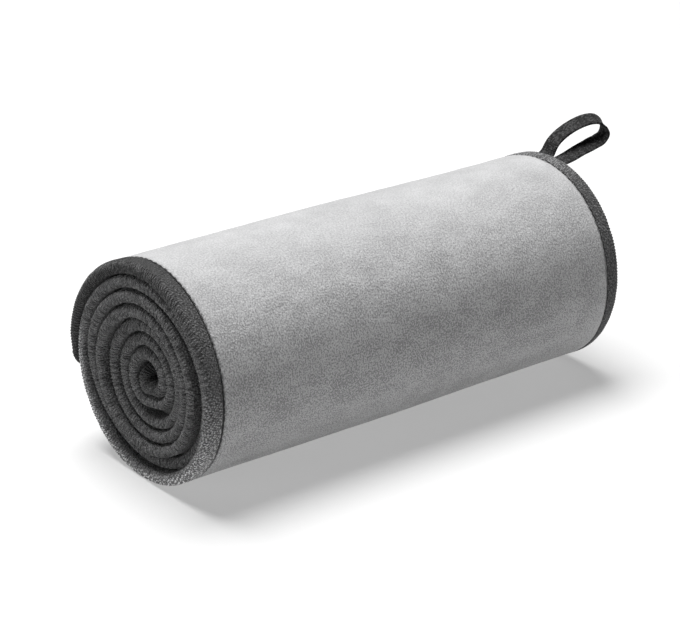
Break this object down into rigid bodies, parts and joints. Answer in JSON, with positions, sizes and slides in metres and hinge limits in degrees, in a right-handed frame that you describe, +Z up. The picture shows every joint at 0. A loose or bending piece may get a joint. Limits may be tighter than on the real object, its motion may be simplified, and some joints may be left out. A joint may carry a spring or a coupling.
{
  "type": "quick dry towel",
  "caption": "Narrow plush sports towel, rolled up and lying on its side, with bound edges, a free end that peels back and a tape hanging loop.",
  "frame": {"origin": "middle of the flat strip that the roll rests on, halfway along the roll", "axes": "+X along the roll's axis, towards the end with the hanging loop; +Y back, to the side where the towel's free end lies; +Z up"},
  "size_m": [0.2297, 0.0907, 0.0969],
  "materials": {
    "plush": "short dense suede-like microfibre pile",
    "edge_binding": "matt ribbed knit",
    "seam_thread": "matt",
    "loop_tape": "matt twill tape"
  },
  "bodies": {
    "roll": {"face_panel": "plush", "back_panel": "plush", "binding_near": "edge_binding", "binding_far": "edge_binding", "thread_near_face": "seam_thread", "thread_near_back": "seam_thread", "thread_far_face": "seam_thread", "thread_far_back": "seam_thread", "binding_core_end": "edge_binding", "thread_core_end_face": "seam_thread", "thread_core_end_back": "seam_thread"},
    "flap": {"flap_face_panel": "plush", "flap_back_panel": "plush", "flap_binding_near": "edge_binding", "flap_binding_far": "edge_binding", "flap_thread_near_face": "seam_thread", "flap_thread_near_back": "seam_thread", "flap_thread_far_face": "seam_thread", "flap_thread_far_back": "seam_thread", "binding_outer_end": "edge_binding", "thread_outer_end_face": "seam_thread", "thread_outer_end_back": "seam_thread"},
    "loop": {"hanging_loop": "loop_tape"}
  },
  "joints": [
    {"name": "flap_peel", "type": "hinge", "parent": "roll", "child": "flap", "pos_m": [0, 0.03002, 0.07205], "axis": [1, 0, 0], "range_deg": [0, 70]},
    {"name": "loop_fold", "type": "hinge", "parent": "roll", "child": "loop", "pos_m": [0.1009, -0.00405, 0.08348], "axis": [0, 1, 0], "range_deg": [-35, 90], "stiffness_Nm_per_rad": 0.0015}
  ]
}
